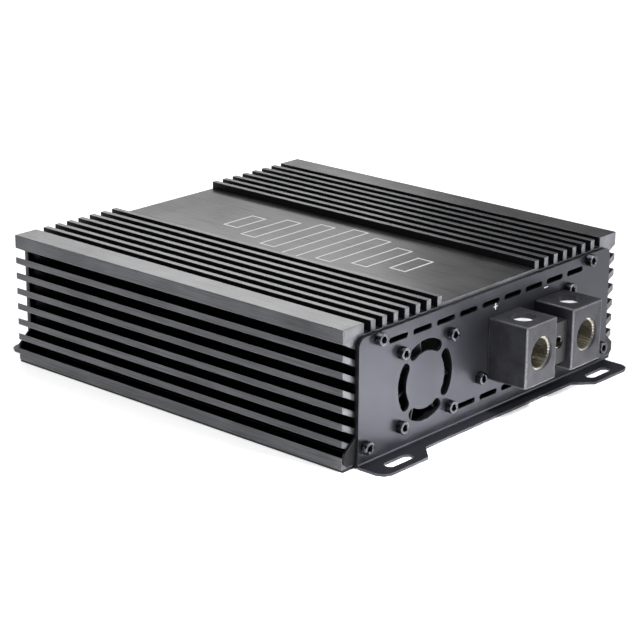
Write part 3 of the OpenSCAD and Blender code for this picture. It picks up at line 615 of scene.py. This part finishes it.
def makeUpright(name, loops, lowerSlots):
    s = endPlate
    firstVent = s["ventMiddle"] - (s["ventsPerRow"] - 1) / 2 * s["ventPitch"]
    firstLowVent = s["ventMiddle"] - s["ventPitch"]
    upright = loopPiece(name, [uprightOutline()] + loops)
    runTree(upright, sheetTree, {
        "Slot Length": s["vent"][0] * mm, "Slot Width": s["vent"][1] * mm, "Pitch": s["ventPitch"] * mm,
        "Upper Slots": s["ventsPerRow"], "Upper Start": (firstVent * mm, s["ventHigh"] * mm, 0),
        "Lower Slots": lowerSlots, "Lower Start": (firstLowVent * mm, s["ventLow"] * mm, 0),
        "Finish": materials["black_steel"]})
    upright.data.transform(Matrix.Rotation(math.pi / 2, 4, "X"))
    return upright


def makeFoot(name):
    s = endPlate
    foot = loopPiece(name + "_foot", [footOutline()])
    runTree(foot, sheetTree, {
        "Slot Length": s["footSlot"][0] * mm, "Slot Width": s["footSlot"][1] * mm,
        "Pitch": s["footSpacing"] * mm,
        "Upper Slots": 2, "Upper Start": (-s["footSpacing"] / 2 * mm, -s["footSlotOut"] * mm, 0),
        "Lower Slots": 0, "Lower Start": (0, 0, 0), "Finish": materials["black_steel"]})
    foot.data.transform(Matrix.Translation((0, 0, s["thick"] * mm)))
    return foot


# Joins the foot to the upright by the bend, a strip of narrow faces
def joinFoot(upright, foot):
    s = endPlate
    work = bmesh.new()
    work.from_mesh(upright.data)
    work.from_mesh(foot.data)
    rows = []
    for i in range(7):
        angle = math.pi / 2 * i / 6
        y = -s["bend"] * (1 - math.cos(angle)) * mm
        z = (s["thick"] + s["bend"] * (1 - math.sin(angle))) * mm
        rows.append([work.verts.new((side * s["halfWidth"] * mm, y, z)) for side in (-1, 1)])
    for low, high in zip(rows[1:], rows[:-1]):
        work.faces.new((low[0], low[1], high[1], high[0]))
    bmesh.ops.remove_doubles(work, verts=work.verts, dist=2e-6)
    bmesh.ops.recalc_face_normals(work, faces=work.faces)
    if sum(f.normal.y * f.calc_area() for f in work.faces) > 0:
        bmesh.ops.reverse_faces(work, faces=work.faces)
    work.to_mesh(upright.data)
    work.free()
    bpy.data.objects.remove(foot)


def makeEndPlate(name, node, loops, lowerSlots, turned):
    s = endPlate
    upright = makeUpright(name, loops, lowerSlots)
    joinFoot(upright, makeFoot(name))
    wall = upright.modifiers.new("sheetThickness", "SOLIDIFY")
    wall.thickness = s["thick"] * mm
    wall.offset = -1
    wall.use_even_offset = True
    bakeModifiers(upright)
    upright.data.transform(Matrix.Translation((0, -(s["thick"] + s["backing"]) * mm, 0)))
    if turned:
        upright.data.transform(Matrix.Rotation(math.pi, 4, "Z"))
        upright.data.transform(Matrix.Translation((0, backY, 0)))
    else:
        upright.data.transform(Matrix.Translation((0, frontY, 0)))
    softenEdges(upright, s["edge"], 2, materials["edge"], angle=50)
    settle(upright, node)


# Middle and size of a node as it is seen from behind, in millimetres
def seenFromBehind(node):
    low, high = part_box(node)
    return (-(low.x + high.x) / 2 / mm, (low.z + high.z) / 2 / mm,
            (high.x - low.x) / mm, (high.z - low.z) / mm)


def frontHoles():
    s = endPlate
    spots = list(s["screwSpots"]) + fanScrewSpots() + list(terminalSpots["baseScrews"])
    return [ring(x, z, s["screwHole"]) for x, z in spots] + [grilleSlot(turn) for turn in (0, 90, 180, 270)]


def backHoles():
    h = rearHoles
    holes = [ring(-x, z, endPlate["screwHole"]) for x, z in endPlate["screwSpots"]]
    for node in ("gain_knob", "subsonic_knob", "low_pass_knob", "bass_boost_knob"):
        x, z = seenFromBehind(node)[:2]
        holes.append(ring(x, z, h["knob"]))
    x, z, width, height = seenFromBehind("rca_barrels")
    across, up = width / 2 - h["jackInset"], height / 2 - h["jackInset"]
    holes += [ring(x + i * across, z + k * up, h["jack"]) for i in (1, -1) for k in (-1, 1)]
    x, z, width, height = seenFromBehind("remote_jack")
    holes.append(rectangle(x, z, width + h["remoteSpare"], height + h["remoteSpare"]))
    x, z, width, height = seenFromBehind("status_lights")
    holes += [ring(x + i * (width / 2 - h["lightInset"]), z, h["light"]) for i in (1, -1)]
    x, z = seenFromBehind("phase_switch_slider")[:2]
    holes.append(rectangle(x - h["switchShift"], z, *h["switch"]))
    x, z = seenFromBehind("speaker_terminal_block")[:2]
    holes.append(rectangle(x, z, *h["speaker"]))
    return holes


def makeEndPlates():
    makeEndPlate("front_end_plate_sheet", "front_end_plate", frontHoles(), 6, False)
    makeEndPlate("rear_end_plate_sheet", "rear_end_plate", backHoles(), 0, True)
    print("end plates made")


makeEndPlates()

# ---- socket head screws ----

capScrew = dict(radius=2.75, height=3.0, chamfer=0.35, socketFlat=1.3, socketDeep=1.8, shankRadius=1.45)


def loft(rings, closeEnds=True):
    count = len(rings[0])
    vertices = [p for r in rings for p in r]
    faces = []
    for k in range(0, (len(rings) - 1) * count, count):
        for i in range(count):
            after = (i + 1) % count
            faces.append((k + i, k + after, k + count + after, k + count + i))
    if closeEnds:
        faces += [tuple(reversed(range(count))), tuple(range((len(rings) - 1) * count, len(rings) * count))]
    return vertices, faces


def capHead():
    s = capScrew
    count = 36

    def circleRing(radius, z):
        return [(x * mm, y * mm, z * mm) for x, y in ring(0, 0, radius, count)]

    def hexRing(flat, z):
        points = []
        for i in range(count):
            angle = 2 * math.pi * i / count
            reach = flat / math.cos((angle % (math.pi / 3)) - math.pi / 6)
            points.append((reach * math.cos(angle) * mm, reach * math.sin(angle) * mm, z * mm))
        return points

    top, cut = s["height"], s["chamfer"]
    # up the outside, over the rounded rim, down the hexagonal socket to the drill's point
    rings = [circleRing(s["radius"] - 0.1, 0), circleRing(s["radius"], 0.1),
             circleRing(s["radius"], top - cut), circleRing(s["radius"] - cut * 0.35, top - cut * 0.25),
             circleRing(s["radius"] - cut, top), circleRing(s["socketFlat"] + 0.42, top),
             hexRing(s["socketFlat"], top - 0.22), hexRing(s["socketFlat"], top - s["socketDeep"]),
             circleRing(0.25, top - s["socketDeep"] - 0.5)]
    vertices, faces = loft(rings)
    head = newPiece("cap_head", vertices, [], faces)
    head.data.shade_smooth()
    head.data.set_sharp_from_angle(angle=math.radians(30))
    return head


def screwTree():
    tree, given, out = newTree("screwSet", [
        ("Head", "Object"), ("Shank Radius", "Float"), ("Shank Length", "Float"), ("Facing", "Vector"),
        ("Seed", "Int"), ("Finish", "Material")])
    head = addNode(tree, "GeometryNodeObjectInfo", {"Object": given["Head"]}, transform_space="ORIGINAL")
    shank = addNode(tree, "GeometryNodeMeshCylinder", {"Vertices": 24, "Radius": given["Shank Radius"],
                                                       "Depth": given["Shank Length"]})
    drop = addNode(tree, "ShaderNodeMath", {0: given["Shank Length"], 1: -0.5}, operation="MULTIPLY")
    down = addNode(tree, "ShaderNodeCombineXYZ", {2: drop.outputs[0]})
    shankPlaced = addNode(tree, "GeometryNodeTransform", {"Geometry": shank.outputs["Mesh"],
                                                          "Translation": down.outputs[0]})
    screw = addNode(tree, "GeometryNodeJoinGeometry")
    tree.links.new(head.outputs["Geometry"], screw.inputs[0])
    tree.links.new(shankPlaced.outputs[0], screw.inputs[0])
    placed = addNode(tree, "GeometryNodeInstanceOnPoints", {
        "Points": given["Geometry"], "Instance": screw.outputs[0], "Rotation": given["Facing"]})
    # every screw stops at its own angle
    turn = addNode(tree, "FunctionNodeRandomValue", {2: 0.0, 3: math.pi / 3, "Seed": given["Seed"]},
                   data_type="FLOAT")
    about = addNode(tree, "ShaderNodeCombineXYZ", {2: turn.outputs[1]})
    turned = addNode(tree, "GeometryNodeRotateInstances", {
        "Instances": placed.outputs[0], "Rotation": about.outputs[0], "Local Space": True})
    whole = addNode(tree, "GeometryNodeRealizeInstances", {0: turned.outputs[0]})
    finished = addNode(tree, "GeometryNodeSetMaterial",
                       {"Geometry": whole.outputs[0], "Material": given["Finish"]})
    tree.links.new(finished.outputs[0], out)
    return tree


def makeScrews():
    head = capHead()
    tree = screwTree()
    faceY = (endPlate["thick"] + endPlate["backing"]) * mm
    # node, spots, face the heads stand on, side they look from, shank length and seed
    sets = (("front_plate_screws", endPlate["screwSpots"], frontY - faceY, 1, 8.0, 3),
            ("fan_screws", fanScrewSpots(), frontY - faceY, 1, 14.2, 5),
            ("terminal_base_screws", terminalSpots["baseScrews"], frontY - faceY, 1, 5.0, 8),
            ("rear_plate_screws", endPlate["screwSpots"], backY + faceY, -1, 8.0, 11))
    for node, spots, y, side, shank, seed in sets:
        piece = newPiece(node + "_set", [(x * mm, y, z * mm) for x, z in spots])
        runTree(piece, tree, {
            "Head": head, "Shank Radius": capScrew["shankRadius"] * mm, "Shank Length": shank * mm,
            "Facing": (side * math.pi / 2, 0, 0), "Seed": seed, "Finish": materials["screw_steel"]})
        settle(piece, node)
    bpy.data.objects.remove(head)
    print("screws made")


makeScrews()

# ---- cable terminals ----

cableLiner = dict(radius=6.2, ridge=0.45, ridges=30, mouth=0.5, screwGap=0.1)


# Opens the liner where the set screw comes down through it
def cutScrewHole(piece, node, screwNode):
    low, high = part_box(screwNode)
    radius = (high.x - low.x) / 2 + cableLiner["screwGap"] * mm
    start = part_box(node)[0].z + 0.5 * (high.z - low.z) + cableLiner["radius"] * mm
    middle = (low + high) / 2
    circle = ring(middle.x, middle.y, radius, 48)
    vertices, faces = loft([[(x, y, z) for x, y in circle] for z in (start, high.z)])
    cutter = newPiece("screw_hole_cutter", vertices, [], faces)
    hole = piece.modifiers.new("screwHole", "BOOLEAN")
    hole.operation = "DIFFERENCE"
    hole.solver = "EXACT"
    hole.object = cutter
    bakeModifiers(piece)
    bpy.data.objects.remove(cutter)


def makeLiner(node, screwNode):
    s = cableLiner
    low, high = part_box(node)
    x, z = (low.x + high.x) / 2, (low.z + high.z) / 2
    outer = (high.x - low.x) / 2
    count = s["ridges"] * 4

    def ringAt(y, radius, ridge):
        points = []
        for i in range(count):
            angle = 2 * math.pi * i / count
            r = radius + (ridge * mm if i % 4 in (1, 2) else 0)
            points.append((x + r * math.cos(angle), y, z + r * math.sin(angle)))
        return points

    inner = s["radius"] * mm
    steps = [(low.y, outer, 0), (low.y, inner + s["mouth"] * mm, 0),
             (low.y + s["mouth"] * mm, inner, s["ridge"]), (high.y, inner, s["ridge"]), (high.y, outer, 0)]
    rings = [ringAt(y, radius, ridge) for y, radius, ridge in steps]
    rings.append(rings[0])
    vertices, faces = loft(rings, False)
    liner = newPiece(node + "_ridged", vertices, [], faces)
    paint(liner, materials["tin_plating"])
    turnFacesOut(liner, 1e-7)
    cutScrewHole(liner, node, screwNode)
    settle(liner, node)


for pole in ("positive", "ground"):
    makeLiner(pole + "_cable_liner", pole + "_set_screw")
print("cable liners made")

# ---- nodes that keep their shape, most with softened edges ----

# width of the rounded edge on each node
softened = dict(
    positive_terminal=0.8, ground_terminal=0.8, remote_terminal=0.5, positive_set_screw=0.35,
    ground_set_screw=0.35, remote_wire_liner=0.12, remote_clamp_screw=0.2, terminal_base=0.3,
    bottom_cover=0.2, front_backing_sheet=0.15, rear_backing_sheet=0.15, fan_frame=0.3, fan_rotor=0.25,
    bottom_cover_screws=0.15, rca_housing=0.4, rca_barrels=0.3, gain_knob=0.3, subsonic_knob=0.3,
    low_pass_knob=0.3, bass_boost_knob=0.3, phase_switch_body=0.2, phase_switch_slider=0.25,
    remote_jack=0.3, status_lights=0.3, speaker_terminal_block=0.5, speaker_clamp_screws=0.25,
    fan_nuts=0.2, left_clamp_bar=0.4, right_clamp_bar=0.4, main_circuit_board=0.15, driver_board=0.2,
    input_board=0.15, positive_bus_bar=0.25, ground_bus_bar=0.25, transformer_windings=1.2,
    output_choke_winding=1.2, input_capacitors=0.4, output_capacitors=0.4)
ownFinish = dict(front_backing_sheet="backing", rear_backing_sheet="backing", bottom_cover="backing",
                 positive_set_screw="zinc", ground_set_screw="zinc")
highlightEdges = dict(positive_terminal="terminal_edge_highlight", ground_terminal="terminal_edge_highlight")
longEdge = 3.0


def finishOf(node):
    return materials[ownFinish.get(node, nodeSlot[node])]


def softenNode(node, width):
    piece = newPiece(node + "_soft")
    piece.data = frame["nodes"][node].data.copy()
    weldPiece(piece)
    paint(piece, finishOf(node))
    longOnly = node in highlightEdges
    if longOnly:
        markLongEdges(piece, longEdge)
    segments = 3 if width >= 0.4 else 2
    softenEdges(piece, width, segments, materials.get(highlightEdges.get(node)), longOnly=longOnly)
    settle(piece, node)


for softNode, softWidth in softened.items():
    softenNode(softNode, softWidth)
print("softened pieces made:", len(softened))

# the rest keep their shape as it is
for plainNode, plainObject in frame["nodes"].items():
    if not plainObject.hide_render:
        paint(plainObject, finishOf(plainNode))

# ---- printed marks: a row of level bars on the panel, a plus and a minus over the terminals ----

levelMark = dict(start=34.0, length=116.0, bars=(20, 32, 42, 50, 42, 32, 20), barShare=0.55, line=0.9)
poleMark = dict(size=2.8, line=0.5, height=47.3)
inkThick = 0.05


def rectangleFrame(x, y, width, height, line):
    outer = rectangle(x, y, width, height)
    inner = rectangle(x, y, width - 2 * line, height - 2 * line)
    faces = [(i, (i + 1) % 4, 4 + (i + 1) % 4, 4 + i) for i in range(4)]
    return outer + inner, faces


def raiseMark(name, vertices, faces, turn, place):
    mark = newPiece(name, vertices, [], faces)
    ink = mark.modifiers.new("inkThickness", "SOLIDIFY")
    ink.thickness = inkThick * mm
    ink.offset = 1
    bakeModifiers(mark)
    mark.data.transform(turn)
    mark.data.transform(Matrix.Translation(place))
    paint(mark, materials["print"])
    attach(mark, "amplifier")


def makeLevelMark():
    s = levelMark
    pitch = s["length"] / len(s["bars"])
    vertices, faces = [], []
    for i, height in enumerate(s["bars"]):
        along = s["start"] + (i + 0.5) * pitch
        points, quads = rectangleFrame(0, along, height, pitch * s["barShare"], s["line"])
        faces += [tuple(len(vertices) + k for k in quad) for quad in quads]
        vertices += [(x * mm, y * mm, 0) for x, y in points]
    place = (0, frontY, finnedBody["panelTop"] * mm)
    raiseMark("panel_level_mark", vertices, faces, Matrix.Identity(4), place)


def makePoleMark(name, x, upright):
    s = poleMark
    bars = [rectangle(0, 0, s["size"], s["line"])]
    if upright:
        arm = (s["size"] - s["line"]) / 2
        bars += [rectangle(0, side * (arm + s["line"]) / 2, s["line"], arm) for side in (-1, 1)]
    vertices = [(a * mm, b * mm, 0) for bar in bars for a, b in bar]
    faces = [tuple(range(4 * i, 4 * i + 4)) for i in range(len(bars))]
    face = frontY - (endPlate["thick"] + endPlate["backing"]) * mm
    raiseMark(name, vertices, faces, Matrix.Rotation(math.pi / 2, 4, "X"), (x * mm, face, s["height"] * mm))


makeLevelMark()
makePoleMark("plus_mark", terminalSpots["plusX"], True)
makePoleMark("minus_mark", terminalSpots["minusX"], False)
print("marks made")

# ---- floor and light ----

lightSet = dict(world=0.12, table=0.5, overhead=36.0, sheen=0.8, plate=0.6, spot=0.22)


def addFloor():
    floor = newPiece("pale_floor", [(-4, -4, 0), (4, -4, 0), (4, 4, 0), (-4, 4, 0)], [], [(0, 1, 2, 3)])
    material, tree, shader = newMaterial("pale_paper_floor", Roughness=0.9)
    shader.inputs["Specular IOR Level"].default_value = 0.0
    # the table is lit from below, so the shadow on it stays faint
    shader.inputs["Emission Color"].default_value = hexColour("#ffffff")
    shader.inputs["Emission Strength"].default_value = lightSet["table"]
    cloud = objectNoise(tree, 300, 2.0)
    colourFrom(tree, shader, cloud, "#f6f6f6", "#fbfbfb")
    paint(floor, material)


def addSoftbox(name, place, target, width, height, power, spread=180, shines=True):
    light = bpy.data.lights.new(name, "AREA")
    light.shape = "RECTANGLE"
    light.size, light.size_y = width, height
    light.energy = power
    light.spread = math.radians(spread)
    holder = bpy.data.objects.new(name, light)
    holder.location = place
    holder.rotation_euler = (Vector(target) - Vector(place)).to_track_quat("-Z", "Y").to_euler()
    holder.visible_camera = False
    holder.visible_glossy = shines
    scene.collection.objects.link(holder)


def addLight():
    world = bpy.data.worlds.new("studio")
    world.use_nodes = True
    scene.world = world
    background = world.node_tree.nodes["Background"]
    background.inputs["Color"].default_value = hexColour("#ffffff")
    background.inputs["Strength"].default_value = lightSet["world"]
    addSoftbox("overheadSoftbox", (0, 0, 1.9), (0, 0, 0), 2.4, 2.4, lightSet["overhead"])
    addSoftbox("sheenSoftbox", (0.41, 0.53, 0.41), (-0.1, -0.1, 0.06), 0.4, 0.25, lightSet["sheen"])
    addSoftbox("plateSoftbox", (0.33, -0.46, 0.08), (-0.07, -0.1, 0.03), 0.16, 0.12, lightSet["plate"])
    # a narrow light on the table in front of the fan, which the end plate mirrors
    addSoftbox("tableSpot", (-0.02, -0.45, 0.5), (-0.02, -0.17, 0), 0.06, 0.06, lightSet["spot"], spread=24,
               shines=False)
    scene.view_settings.view_transform = "Standard"
    scene.view_settings.look = "None"


addFloor()
addLight()
